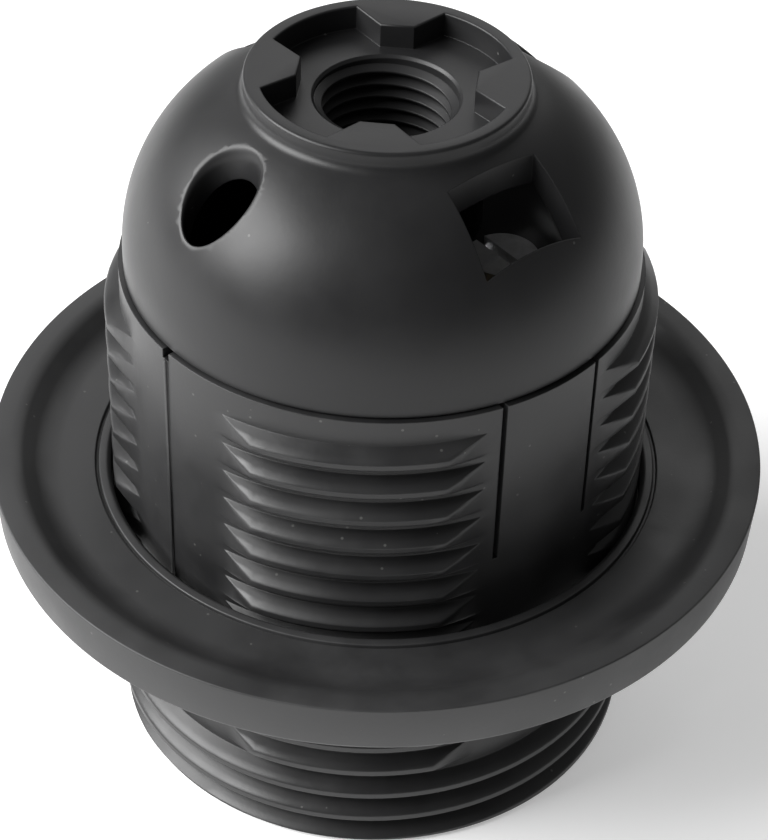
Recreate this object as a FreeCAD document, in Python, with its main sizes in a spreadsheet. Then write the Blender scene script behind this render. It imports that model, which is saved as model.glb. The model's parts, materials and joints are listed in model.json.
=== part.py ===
"""E27 lampholder with a 40 x 2.5 skirt thread, a domed cap with M10 entry and a shade ring.

Frame: millimetres, +Z up, origin at the middle of the mouth rim. The cap's rectangular
windows face -Y and +Y, its round holes face -X and +X. The skirt's four thread segments
are centred on the diagonals, with smooth gaps between them.
"""
import FreeCAD, Part
import math
import os
import Sketcher
from dataclasses import dataclass

# ----------------------------------------------------------------------------- sizes

SIZES = {
    # skirt: the lamp tube, the shell around it and the coarse thread, from the inside out
    "lamp_radius": 13.5,         # major radius of the E27 lamp thread
    "tube_wall": 1.8,
    "cavity_width": 1.8,         # between the lamp tube and the shell
    "shell_wall": 1.75,
    "thread_depth": 1.1,         # these five and the next make the 40 mm thread diameter
    "root_step": 0.05,           # the land and the gaps lie this far below the thread's root
    "thread_pitch": 2.5,
    "crest_width": 0.6,
    "flank_lean": 30,            # degrees from square to the axis
    "first_groove": 1.1875,      # height of the groove where it starts, on -X
    "groove_turns": 15,
    "seam_height": 40.8,         # top face of the skirt, which carries the cap
    "land_height": 2.8,          # from the last crest to the seam
    "rim_chamfer": 0.4,
    "web_thickness": 2.2,
    "gap_floor": 6.5,            # the gaps between segments start here
    "gap_root_angle": 18.2,      # half the gap at the root, degrees
    "gap_crest_angle": 26.5,     # half the gap at the crest, degrees
    "slit_offset": 4.1,          # slits beside each latch tongue, from its middle
    "slit_width": 0.4,
    "slit_length": 13.8,
    "rib_width": 0.3,            # index rib in the gaps on -X and +X
    "rib_height": 0.15,
    "notch_size": 0.7,
    "tube_height": 17.0,
    "mouth_chamfer": 0.8,
    # cap: the dome that closes the skirt and takes the entry nipple
    "cap_height": 15.2,          # above the seam
    "cap_inset": 0.35,           # the cap stands in from the skirt's land
    "seam_chamfer": 0.15,
    "cap_wall": 2.0,
    "shoulder_rise": 1.5,        # straight wall above the seam
    "collar_radius": 9.85,
    "collar_height": 1.3,        # above the dome
    "collar_wall": 1.05,
    "collar_blend": 0.8,
    "collar_edge": 0.25,
    "recess_depth": 1.8,
    "lug_length": 2.6,           # from the collar wall towards the entry
    "lug_base_angle": 22,        # half angles of a lug, degrees
    "lug_tip_angle": 11,
    "entry_radius": 5.0,         # major radius of the M10 x 1 entry thread
    "entry_chamfer": 0.4,
    "entry_length": 9.7,         # from the recess floor to the end of the boss
    "boss_wall": 2.0,
    "ceiling_thickness": 1.8,
    "spigot_wall": 1.4,
    "spigot_lead": 1.0,          # slope where the spigot widens into the dome
    "fit_gap": 0.2,              # round the spigot and below it
    "window_width": 8.5,
    "window_depth": 5.1,
    "window_inset": 0.6,         # from the dome's inside wall to the window
    "wire_hole_radius": 2.65,
    "wire_hole_inset": 3.0,      # from the dome's inside wall to the hole's axis
    "hole_blend": 0.45,
    # shade ring, screwed on the skirt
    "ring_width": 8.85,          # from the bore to the rim, which makes 58 mm over all
    "ring_draft": 0.25,
    "ring_top": 24.0,
    "ring_thickness": 4.0,
    "ring_edge": 0.3,
    "ring_rim": 1.9,
    "ring_cove": 2.1,            # width of the slope from the rim to the floor
    "ring_floor_drop": 1.7,
    "ring_recess": 0.5,
    "ring_gap": 0.15,            # from the crests to the ring's bore
    "ring_bevel": 0.7,
    "ring_groove_inset": 0.45,   # from the bevel to the groove round it
    "ring_groove_width": 0.3,
    "ring_collar_wall": 1.85,
    "ring_length": 8.0,
    # contact carrier inside the skirt
    "carrier_step": 0.7,         # the carrier's wall stands back from the lamp bore
    "carrier_rise": 10.0,        # from the lamp tube to the carrier's floor
    "carrier_thickness": 5.0,
    "flange_thickness": 2.0,
    "barrier_thickness": 1.6,
    "barrier_inset": 2.5,        # from the spigot's inside to the barrier's ends
    "barrier_height": 6.5,
    "slot_gap": 0.15,
    # contacts, rivets and terminals
    "strip_thickness": 0.5,
    "strip_width": 6.0,
    "strip_overhang": 2.8,       # past the screw's axis
    "leg_gap": 0.9,              # from the rivet's head to the strip's leg
    "blade_inset": 1.0,          # from the lamp bore to the inner face of the blade
    "blade_hump": 0.9,
    "blade_length": 5.4,
    "tongue_drop": 2.4,
    "tongue_tip": 2.6,
    "bend_radius": 0.6,
    "rivet_gap": 0.3,            # from the washer to the rivet's head
    "rivet_radius": 1.1,
    "rivet_head_radius": 1.7,
    "rivet_head_height": 0.7,
    "screw_inset": 3.7,          # from the spigot's inside to the screw's axis
    "screw_radius": 1.7,
    "screw_head_radius": 2.7,
    "screw_head_height": 2.2,
    "screw_length": 5.2,
    "screw_slot_width": 0.8,
    "screw_slot_depth": 1.0,
    "screw_clearance": 0.1,
    "washer_length": 5.4,
    "washer_thickness": 0.8,
}


class Size:
    """A size that knows its number and the sheet expression that gives it."""

    def __init__(self, number, text):
        self.number = number
        self.text = text

    def _join(self, other, sign, number):
        return Size(number, f"({self.text} {sign} {as_size(other).text})")

    def __add__(self, other):
        return self._join(other, "+", self.number + as_size(other).number)

    def __sub__(self, other):
        return self._join(other, "-", self.number - as_size(other).number)

    def __mul__(self, other):
        return self._join(other, "*", self.number * as_size(other).number)

    def __truediv__(self, other):
        return self._join(other, "/", self.number / as_size(other).number)

    def __neg__(self):
        return Size(-self.number, f"(0 - {self.text})")


def as_size(value):
    return value if isinstance(value, Size) else Size(float(value), repr(float(value)))


def size(name):
    """The driving dimension of that name."""
    return Size(float(SIZES[name]), f"Sizes.{name}")


def square_root(value):
    return Size(math.sqrt(value.number), f"sqrt({value.text})")


def sine(angle):
    return Size(math.sin(math.radians(angle.number)), f"sin({angle.text})")


def cosine(angle):
    return Size(math.cos(math.radians(angle.number)), f"cos({angle.text})")


def tangent(angle):
    return sine(angle) / cosine(angle)


@dataclass
class Arc:
    """A round stretch of an outline: it ends at `corner` and bulges to one side."""

    corner: tuple
    radius: Size
    side: int = 1                # +1 bulges to the left of the way from start to end


ZERO = Size(0.0, "0")

# ----------------------------------------------------------------------------- helpers


def make_sheet(document):
    """Puts every driving dimension in the sheet, one row each, with its name as alias."""
    sheet = document.addObject("Spreadsheet::Sheet", "Sizes")
    for row, (name, number) in enumerate(SIZES.items(), start=1):
        sheet.set(f"A{row}", name)
        sheet.set(f"B{row}", str(number))
        sheet.setAlias(f"B{row}", name)
    document.recompute()
    return sheet


def origin_item(body, role):
    return next(item for item in body.Origin.OriginFeatures if item.Role == role)


def new_sketch(body, name, role, lift=None):
    """An empty sketch on one of the body's own origin planes, raised by `lift`."""
    sketch = body.newObject("Sketcher::SketchObject", name)
    sketch.AttachmentSupport = [(origin_item(body, role), "")]
    sketch.MapMode = "FlatFace"
    if lift is not None:
        sketch.setExpression("AttachmentOffset.Base.z", lift.text)
    return sketch


def place_point(sketch, geometry, point, corner):
    """Ties a point of the geometry to its distances from the sketch origin."""
    for kind, distance in zip(("DistanceX", "DistanceY"), corner):
        index = sketch.addConstraint(
            Sketcher.Constraint(kind, -1, 1, geometry, point, distance.number))
        sketch.setExpression(f"Constraints[{index}]", distance.text)


def bulge_point(start, end, arc):
    """A point half way along the arc from start to end."""
    chord = end - start
    reach = arc.radius.number
    rise = reach - math.sqrt(reach ** 2 - (chord.Length / 2) ** 2)
    left = FreeCAD.Vector(-chord.y, chord.x, 0).normalize()
    return (start + end) * 0.5 + left * (arc.side * rise)


def add_outline(sketch, steps):
    """Adds a closed outline of straight and round stretches, tied at every corner."""
    corners = [step.corner if isinstance(step, Arc) else step for step in steps]
    points = [FreeCAD.Vector(x.number, y.number, 0) for x, y in corners]
    ends = []
    for place, step in enumerate(steps):
        start, end = points[place - 1], points[place]
        if isinstance(step, Arc):
            curve = Part.Arc(start, bulge_point(start, end, step), end)
            index = sketch.addGeometry(curve, False)
            radius = sketch.addConstraint(
                Sketcher.Constraint("Radius", index, step.radius.number))
            sketch.setExpression(f"Constraints[{radius}]", step.radius.text)
        else:
            index = sketch.addGeometry(Part.LineSegment(start, end), False)
        forward = sketch.getPoint(index, 1).distanceToPoint(start) < 1e-6
        ends.append((index, 1, 2) if forward else (index, 2, 1))
    for place, (index, first, last) in enumerate(ends):
        before = ends[place - 1]
        sketch.addConstraint(
            Sketcher.Constraint("Coincident", before[0], before[2], index, first))
        place_point(sketch, index, last, corners[place])


def outline_sketch(body, name, role, steps, lift=None):
    sketch = new_sketch(body, name, role, lift)
    add_outline(sketch, steps)
    return sketch


def circle_sketch(body, name, role, centres, radius, lift=None):
    """Circles of one radius at the given centres."""
    sketch = new_sketch(body, name, role, lift)
    for x, y in centres:
        centre = FreeCAD.Vector(x.number, y.number, 0)
        circle = Part.Circle(centre, FreeCAD.Vector(0, 0, 1), radius.number)
        index = sketch.addGeometry(circle, False)
        place_point(sketch, index, 3, (x, y))
        bound = sketch.addConstraint(Sketcher.Constraint("Radius", index, radius.number))
        sketch.setExpression(f"Constraints[{bound}]", radius.text)
    return sketch


def rectangle(left, right, low, high):
    return [(left, low), (right, low), (right, high), (left, high)]


def polar(radius, angle):
    """The point at that radius, with the angle counted from -Y towards +X."""
    return radius * sine(angle), -(radius * cosine(angle))


def revolve(body, name, sketch):
    feature = body.newObject("PartDesign::Revolution", name)
    feature.Profile = sketch
    feature.ReferenceAxis = (sketch, ["V_Axis"])
    feature.Angle = 360
    return feature


def pad(body, name, sketch, length, midplane=False):
    feature = body.newObject("PartDesign::Pad", name)
    feature.Profile = sketch
    feature.setExpression("Length", length.text)
    feature.Midplane = midplane
    return feature


def pocket(body, name, sketch, length=None, upward=False, midplane=False):
    """A cut along the sketch's axis: by a length, or through everything on its way."""
    feature = body.newObject("PartDesign::Pocket", name)
    feature.Profile = sketch
    feature.Reversed = upward
    feature.Midplane = midplane
    if length is None:
        feature.Type = "ThroughAll"
    else:
        feature.setExpression("Length", length.text)
    return feature


def polar_pattern(body, name, feature, sketch, count):
    pattern = body.newObject("PartDesign::PolarPattern", name)
    pattern.Originals = [feature]
    pattern.Axis = (sketch, ["N_Axis"])
    pattern.Angle = 360
    pattern.Occurrences = count
    body.Tip = pattern
    return pattern


def round_edges(body, name, feature, radius, wanted):
    """Rounds the edges of the feature whose middle point passes the test."""
    body.Document.recompute()
    names = [f"Edge{number}" for number, edge in enumerate(feature.Shape.Edges, start=1)
             if wanted(edge.valueAt((edge.FirstParameter + edge.LastParameter) / 2), edge)]
    fillet = body.newObject("PartDesign::Fillet", name)
    fillet.Base = (feature, names)
    fillet.setExpression("Radius", radius.text)
    return fillet


def on_dome(point, reach):
    """Whether a point lies on the round outside of the dome."""
    across = math.hypot(point.x, point.y) - (CAP_RADIUS.number - reach)
    return abs(math.hypot(across, point.z - SHOULDER_Z.number) - reach) < 0.01


def new_body(document, label):
    body = document.addObject("PartDesign::Body", label)
    body.Label = label
    return body


# ----------------------------------------------------------------------------- shared places

TUBE_OUTSIDE = size("lamp_radius") + size("tube_wall")
SHELL_INSIDE = TUBE_OUTSIDE + size("cavity_width")
LAND = SHELL_INSIDE + size("shell_wall")
ROOT = LAND + size("root_step")
CREST = ROOT + size("thread_depth")
SEAM = size("seam_height")
SLIDING = SHELL_INSIDE - size("fit_gap")        # radius of what slides into the shell
SPIGOT_INSIDE = SLIDING - size("spigot_wall")

CAP_RADIUS = LAND - size("cap_inset")
CAP_INSIDE = CAP_RADIUS - size("cap_wall")
CAP_TOP = SEAM + size("cap_height")
SHOULDER_Z = SEAM + size("shoulder_rise")
RECESS_FLOOR = CAP_TOP - size("recess_depth")
RECESS_RADIUS = size("collar_radius") - size("collar_wall")

CARRIER_FLOOR = size("tube_height") + size("carrier_rise")
CARRIER_TOP = CARRIER_FLOOR + size("carrier_thickness")
STRIP_TOP = CARRIER_TOP + size("strip_thickness")
SCREW_PLACE = SPIGOT_INSIDE - size("screw_inset")
RIVET_PLACE = (SCREW_PLACE - size("washer_length") / 2 - size("rivet_gap")
               - size("rivet_head_radius"))
LEG_PLACE = RIVET_PLACE - size("rivet_head_radius") - size("leg_gap")
HALF_STRIP = size("strip_width") / 2

# ----------------------------------------------------------------------------- skirt


def thread_groove(body):
    """The helical groove that leaves the coarse thread standing."""
    middle = size("first_groove")
    lean = tangent(size("flank_lean"))
    half_crest = (size("thread_pitch") - size("crest_width")) / 2
    half_root = half_crest - size("thread_depth") * lean
    over = size("rib_height")                   # the cutter reaches past the crest
    half_outer = half_crest + over * lean
    steps = [(-ROOT, middle - half_root), (-(CREST + over), middle - half_outer),
             (-(CREST + over), middle + half_outer), (-ROOT, middle + half_root)]
    profile = outline_sketch(body, "groove_profile", "XZ_Plane", steps)
    helix = body.newObject("PartDesign::SubtractiveHelix", "thread_groove")
    helix.Profile = profile
    helix.ReferenceAxis = (profile, ["V_Axis"])
    helix.Mode = "pitch-height-angle"
    helix.setExpression("Pitch", size("thread_pitch").text)
    helix.setExpression("Height", (size("thread_pitch") * size("groove_turns")).text)
    helix.LeftHanded = False
    return helix


def segment_gaps(body):
    """Four smooth gaps with slanted sides, which part the thread into segments."""
    root_angle = size("gap_root_angle")
    crest_angle = size("gap_crest_angle")
    over = size("thread_depth") / 2
    outer_angle = crest_angle + (crest_angle - root_angle) / 2
    outer = CREST + over
    steps = [polar(LAND, -root_angle), Arc(polar(LAND, root_angle), LAND, -1),
             polar(outer, outer_angle), Arc(polar(outer, -outer_angle), outer, 1)]
    sketch = outline_sketch(body, "gap_outline", "XY_Plane", steps, size("gap_floor"))
    gap = pocket(body, "segment_gap", sketch, SEAM - size("gap_floor"), upward=True)
    return polar_pattern(body, "segment_gaps", gap, sketch, 4)


def threaded_skirt(document):
    """Outer shell with the coarse thread, and the lamp tube joined to it at the mouth."""
    body = new_body(document, "threaded_skirt")
    lamp, web = size("lamp_radius"), size("web_thickness")
    mouth, rim = size("mouth_chamfer"), size("rim_chamfer")
    thread_top = SEAM - size("land_height")
    steps = [(lamp, mouth), (lamp + mouth, ZERO), (CREST - rim, ZERO), (CREST, rim),
             (CREST, thread_top), (LAND, thread_top + CREST - LAND), (LAND, SEAM), (SHELL_INSIDE, SEAM), (SHELL_INSIDE, web), (TUBE_OUTSIDE, web),
             (TUBE_OUTSIDE, size("tube_height")), (lamp, size("tube_height"))]
    revolve(body, "skirt_blank", outline_sketch(body, "skirt_profile", "XZ_Plane", steps))
    segment_gaps(body)
    thread_groove(body)

    half_rib, tall = size("rib_width") / 2, SEAM - size("notch_size") - size("gap_floor")
    ribs = new_sketch(body, "rib_outline", "XY_Plane", size("gap_floor"))
    inner, outer = LAND - size("rib_height"), LAND + size("rib_height")
    add_outline(ribs, rectangle(inner, outer, -half_rib, half_rib))
    add_outline(ribs, rectangle(-outer, -inner, -half_rib, half_rib))
    pad(body, "index_ribs", ribs, tall)

    half_slit = size("slit_width") / 2
    slits = new_sketch(body, "slit_outline", "XZ_Plane")
    for middle in (-size("slit_offset"), size("slit_offset")):
        add_outline(slits, rectangle(middle - half_slit, middle + half_slit,
                                     SEAM - size("slit_length"), SEAM))
    pocket(body, "latch_slits", slits, CREST * 2, midplane=True)

    half_notch = size("notch_size") / 2
    notches = outline_sketch(body, "notch_outline", "YZ_Plane",
                             rectangle(-half_notch, half_notch,
                                       SEAM - size("notch_size"), SEAM))
    pocket(body, "rib_notches", notches, CREST * 2, midplane=True)
    return body


# ----------------------------------------------------------------------------- cap


def dome_cap(document):
    """Dome with its spigot, entry boss, recessed collar, lugs, windows and wire holes."""
    body = new_body(document, "dome_cap")
    collar, chamfer, edge = size("collar_radius"), size("seam_chamfer"), size("collar_edge")
    collar_foot = CAP_TOP - size("collar_height")
    rise, run = collar_foot - SHOULDER_Z, CAP_RADIUS - collar
    reach = (rise * rise + run * run) / (run * 2)    # upright at the wall, through the collar
    inner_reach = reach - size("cap_wall")
    ceiling = RECESS_FLOOR - size("ceiling_thickness")
    inner_rise = ceiling - SHOULDER_Z
    ceiling_edge = CAP_RADIUS - reach + square_root(
        inner_reach * inner_reach - inner_rise * inner_rise)
    entry, lead = size("entry_radius"), size("entry_chamfer")
    boss, boss_bottom = entry + size("boss_wall"), RECESS_FLOOR - size("entry_length")
    spigot_bottom = CARRIER_TOP + size("fit_gap")
    steps = [(SPIGOT_INSIDE, spigot_bottom), (SLIDING, spigot_bottom), (SLIDING, SEAM),
             (CAP_RADIUS - chamfer, SEAM), (CAP_RADIUS, SEAM + chamfer),
             (CAP_RADIUS, SHOULDER_Z), Arc((collar, collar_foot), reach, -1),
             (collar, CAP_TOP - edge), (collar - edge, CAP_TOP), (RECESS_RADIUS, CAP_TOP),
             (RECESS_RADIUS, RECESS_FLOOR), (entry + lead, RECESS_FLOOR),
             (entry, RECESS_FLOOR - lead), (entry, boss_bottom + lead),
             (entry + lead, boss_bottom), (boss, boss_bottom), (boss, ceiling),
             (ceiling_edge, ceiling), Arc((CAP_INSIDE, SHOULDER_Z), inner_reach, 1),
             (CAP_INSIDE, SEAM + size("spigot_lead")), (SPIGOT_INSIDE, SEAM)]
    blank = revolve(body, "cap_blank", outline_sketch(body, "cap_profile", "XZ_Plane", steps))
    round_edges(body, "collar_blend", blank, size("collar_blend"),
                lambda point, edge: abs(point.z - collar_foot.number) < 0.01
                and abs(math.hypot(point.x, point.y) - collar.number) < 0.01)

    diagonal = Size(45.0, "45")
    foot = (RECESS_RADIUS + collar) / 2         # each lug roots inside the collar wall
    tip_radius = RECESS_RADIUS - size("lug_length")
    base, tip = size("lug_base_angle"), size("lug_tip_angle")
    lug = outline_sketch(body, "lug_outline", "XY_Plane",
                         [polar(foot, diagonal - base), polar(foot, diagonal + base),
                          polar(tip_radius, diagonal + tip),
                          polar(tip_radius, diagonal - tip)], RECESS_FLOOR)
    lug_pad = pad(body, "collar_lug", lug, size("recess_depth"))
    polar_pattern(body, "collar_lugs", lug_pad, lug, 4)

    half_window = size("window_width") / 2
    far = CAP_INSIDE - size("window_inset")
    near = far - size("window_depth")
    windows = new_sketch(body, "window_outline", "XY_Plane", SHOULDER_Z)
    add_outline(windows, rectangle(-half_window, half_window, -far, -near))
    add_outline(windows, rectangle(-half_window, half_window, near, far))
    pocket(body, "shoulder_windows", windows, upward=True)

    place = CAP_INSIDE - size("wire_hole_inset")
    holes = circle_sketch(body, "wire_hole_outline", "XY_Plane",
                          [(-place, ZERO), (place, ZERO)], size("wire_hole_radius"),
                          SHOULDER_Z)
    cut = pocket(body, "wire_holes", holes, upward=True)
    round_edges(body, "opening_blend", cut, size("hole_blend"),
                lambda point, edge: on_dome(point, reach.number))
    return body


# ----------------------------------------------------------------------------- shade ring


def shade_ring(document):
    """Dished ring with a raised rim, a grooved floor and the collar below it."""
    body = new_body(document, "shade_ring")
    bore = CREST + size("ring_gap")
    top, outer, edge = size("ring_top"), bore + size("ring_width"), size("ring_edge")
    bottom = top - size("ring_thickness")
    foot = outer - size("ring_draft")
    floor = top - size("ring_floor_drop")
    under = bottom + size("ring_recess")
    collar, collar_bottom = bore + size("ring_collar_wall"), top - size("ring_length")
    rim = outer - size("ring_rim")
    bevel, width = size("ring_bevel"), size("ring_groove_width")
    groove = bore + bevel + size("ring_groove_inset")
    steps = [(bore, collar_bottom), (collar, collar_bottom), (collar, under),
             (rim - size("ring_recess"), under), (rim, bottom), (foot - edge, bottom),
             (foot, bottom + edge), (outer, top - edge), (outer - edge, top), (rim, top),
             Arc((rim - size("ring_cove"), floor), size("ring_floor_drop") * 4, -1),
             (groove + width, floor), (groove + width, floor - width),
             (groove, floor - width), (groove, floor), (bore + bevel, floor),
             (bore, floor - bevel)]
    revolve(body, "ring", outline_sketch(body, "ring_profile", "XZ_Plane", steps))
    return body


# ----------------------------------------------------------------------------- inside pieces


def contact_carrier(document):
    """Insulating carrier on the lamp tube, with the barrier between the terminals."""
    body = new_body(document, "contact_carrier")
    floor, foot = CARRIER_FLOOR, size("tube_height")
    wall = size("lamp_radius") + size("carrier_step")
    flange = CARRIER_TOP - size("flange_thickness")
    steps = [(ZERO, floor), (wall, floor), (wall, foot), (TUBE_OUTSIDE, foot),
             (TUBE_OUTSIDE, flange), (SLIDING, flange), (SLIDING, CARRIER_TOP),
             (ZERO, CARRIER_TOP)]
    profile = outline_sketch(body, "carrier_profile", "XZ_Plane", steps)
    revolve(body, "carrier_blank", profile)

    half_barrier = size("barrier_thickness") / 2
    half_width = SPIGOT_INSIDE - size("barrier_inset")
    barrier = outline_sketch(body, "barrier_outline", "XY_Plane",
                             rectangle(-half_barrier, half_barrier, -half_width, half_width),
                             CARRIER_TOP)
    pad(body, "barrier", barrier, size("barrier_height"))

    gap, thickness = size("slot_gap"), size("strip_thickness")
    across = HALF_STRIP + gap
    slots = new_sketch(body, "slot_outline", "XY_Plane", CARRIER_TOP)
    near, far = LEG_PLACE - thickness - gap, LEG_PLACE + gap
    add_outline(slots, rectangle(near, far, -across, across))
    add_outline(slots, rectangle(-far, -near, -across, across))
    pocket(body, "strip_slots", slots, size("carrier_thickness"))

    rivets = circle_sketch(body, "rivet_hole_outline", "XY_Plane",
                           [(RIVET_PLACE, ZERO), (-RIVET_PLACE, ZERO)],
                           size("rivet_radius"), CARRIER_TOP)
    pocket(body, "rivet_holes", rivets, size("carrier_thickness"))
    screws = circle_sketch(body, "screw_hole_outline", "XY_Plane",
                           [(SCREW_PLACE, ZERO), (-SCREW_PLACE, ZERO)],
                           size("screw_radius") + size("screw_clearance"), CARRIER_TOP)
    pocket(body, "screw_holes", screws, size("screw_length") - size("washer_thickness"))
    return body


def strip_holes(body, side):
    """The holes of a contact strip for its terminal screw and its rivet."""
    screw = circle_sketch(body, "screw_hole", "XY_Plane",
                          [(SCREW_PLACE * side, ZERO)],
                          size("screw_radius") + size("screw_clearance"), CARRIER_TOP)
    pocket(body, "screw_clearance", screw, size("strip_thickness"), upward=True)
    rivet = circle_sketch(body, "rivet_hole", "XY_Plane",
                          [(RIVET_PLACE * side, ZERO)],
                          size("rivet_radius"), CARRIER_TOP)
    return pocket(body, "rivet_seat", rivet, CREST, midplane=True)


def bent_strip(body, name, steps):
    """A strip of the given side view, with its bends rounded inside and outside."""
    sketch = outline_sketch(body, name + "_profile", "XZ_Plane", steps)
    return pad(body, name, sketch, size("strip_width"), midplane=True)


def centre_contact(document):
    """Bent strip from its terminal through the carrier to the sprung tongue."""
    body = new_body(document, "centre_contact")
    thick, leg = size("strip_thickness"), LEG_PLACE
    end, low = SCREW_PLACE + size("strip_overhang"), CARRIER_FLOOR - size("strip_thickness")
    tip = size("tongue_tip")
    tip_height = low - size("tongue_drop")
    bent_strip(body, "centre_strip",
               [(end, CARRIER_TOP), (end, STRIP_TOP), (leg - thick, STRIP_TOP),
                (leg - thick, low), (-tip, tip_height + thick),
                (-(tip + thick), tip_height + thick * 2),
                (-(tip + thick * 2), tip_height + thick), (-tip, tip_height),
                (leg, low - thick / 2), (leg, CARRIER_TOP)])
    strip_holes(body, 1)
    return body


def side_contact(document):
    """Bent strip from its terminal under the carrier floor to the blade at the side."""
    body = new_body(document, "side_contact")
    thick, leg = size("strip_thickness"), LEG_PLACE
    blade = size("lamp_radius") - size("blade_inset")
    end, floor = SCREW_PLACE + size("strip_overhang"), CARRIER_FLOOR
    low = floor - thick
    hump = size("blade_hump")
    bend = low - thick * 4
    bottom = bend - size("blade_length")
    crown = (bend + bottom) / 2
    bent_strip(body, "side_strip",
               [(thick - leg, STRIP_TOP), (-end, STRIP_TOP), (-end, CARRIER_TOP),
                (-leg, CARRIER_TOP), (-leg, floor), (-(blade + thick), floor),
                (-(blade + thick), bend), (hump - blade - thick, crown),
                (-(blade + thick), bottom), (-blade, bottom), (hump - blade, crown),
                (-blade, bend), (-blade, low), (thick - leg, low)])
    strip_holes(body, -1)
    return body


def place_body(body, side, place, height):
    """Stands a body on its side of the carrier at that height."""
    body.setExpression("Placement.Base.x", (place * side).text)
    body.setExpression("Placement.Base.z", height.text)


def contact_rivet(document, label, side, grip):
    """Rivet through the strip and the carrier; `grip` is what it holds together."""
    body = new_body(document, label)
    shank, head = size("rivet_radius"), size("rivet_head_radius")
    tall = size("rivet_head_height")
    steps = [(ZERO, -tall), (head, -tall), (head, ZERO), (shank, ZERO), (shank, grip),
             (head, grip), (head, grip + tall), (ZERO, grip + tall)]
    revolve(body, "rivet", outline_sketch(body, "rivet_profile", "XZ_Plane", steps))
    place_body(body, side, RIVET_PLACE, STRIP_TOP - grip)
    return body


def terminal_screw(document, label, side):
    """Slotted cheese-head screw that presses its washer on the strip."""
    body = new_body(document, label)
    head, tall = size("screw_head_radius"), size("screw_head_height")
    shank, length, depth = size("screw_radius"), size("screw_length"), size("screw_slot_depth")
    steps = [(ZERO, -length), (shank, -length), (shank, ZERO), (head, ZERO), (head, tall),
             (ZERO, tall)]
    revolve(body, "screw", outline_sketch(body, "screw_profile", "XZ_Plane", steps))
    half = size("screw_slot_width") / 2
    slot = outline_sketch(body, "slot_outline", "XZ_Plane",
                          rectangle(-half, half, tall - depth, tall))
    pocket(body, "driver_slot", slot, head * 2, midplane=True)
    place_body(body, side, SCREW_PLACE, STRIP_TOP + size("washer_thickness"))
    return body


def clamp_washer(document, label, side):
    """Square washer that holds the wire under the screw head."""
    body = new_body(document, label)
    half = size("washer_length") / 2
    plate = outline_sketch(body, "washer_outline", "XY_Plane",
                           rectangle(-half, half, -HALF_STRIP, HALF_STRIP))
    pad(body, "washer", plate, size("washer_thickness"))
    hole = circle_sketch(body, "washer_hole_outline", "XY_Plane", [(ZERO, ZERO)],
                         size("screw_radius") + size("screw_clearance"))
    pocket(body, "washer_hole", hole, size("washer_thickness"), upward=True)
    place_body(body, side, SCREW_PLACE, STRIP_TOP)
    return body


# ----------------------------------------------------------------------------- document


def build(document):
    """Every sub-part of the lampholder."""
    through = size("carrier_thickness") + size("strip_thickness")
    bodies = [threaded_skirt(document), dome_cap(document), shade_ring(document),
              contact_carrier(document), centre_contact(document), side_contact(document),
              contact_rivet(document, "contact_rivet_live", 1, through),
              contact_rivet(document, "contact_rivet_neutral", -1,
                            through + size("strip_thickness"))]
    for name, side in (("live", 1), ("neutral", -1)):
        bodies.append(terminal_screw(document, f"terminal_screw_{name}", side))
        bodies.append(clamp_washer(document, f"clamp_washer_{name}", side))
    return bodies


def check(document, bodies):
    """Stops if a feature failed, or if a sub-part isn't one sound solid."""
    for item in document.Objects:
        if {"Invalid", "Error"} & set(item.State):
            raise RuntimeError(f"{item.Label} failed: {item.State}")
    for body in bodies:
        shape = body.Shape
        if shape.isNull() or not shape.isValid() or len(shape.Solids) != 1:
            raise RuntimeError(f"{body.Label} isn't one sound solid")
        print(f"{body.Label}: {shape.Volume:.1f} mm3, {len(shape.Faces)} faces")


def main():
    document = FreeCAD.newDocument("lampholder")
    make_sheet(document)
    bodies = build(document)
    document.recompute()
    check(document, bodies)
    os.makedirs("parts", exist_ok=True)
    for body in bodies:
        body.Shape.exportStep(f"parts/{body.Label}.step")


main()
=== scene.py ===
"""Looks of a domed screw-cap lampholder with a threaded skirt and a dished shade ring.

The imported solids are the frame. Finer meshes stand in for the skirt, the cap and the shade
ring, the two fine threads that the solids leave out are added, and every surface gets its
finish. Sizes of pieces are in millimetres, and MM turns them into metres. The stage is in
metres. Heights count from the mouth of the lamp tube, and -Y is the front.
"""
import json
import logging
import math
from dataclasses import dataclass
from enum import Enum
from functools import cache

import bmesh
import bpy
from bmesh.types import BMEdge, BMesh, BMFace, BMVert
from bpy.types import Material, Node, NodeSocket, NodeTree, Object, ShaderNodeTree
from mathutils import Matrix, Vector


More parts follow.
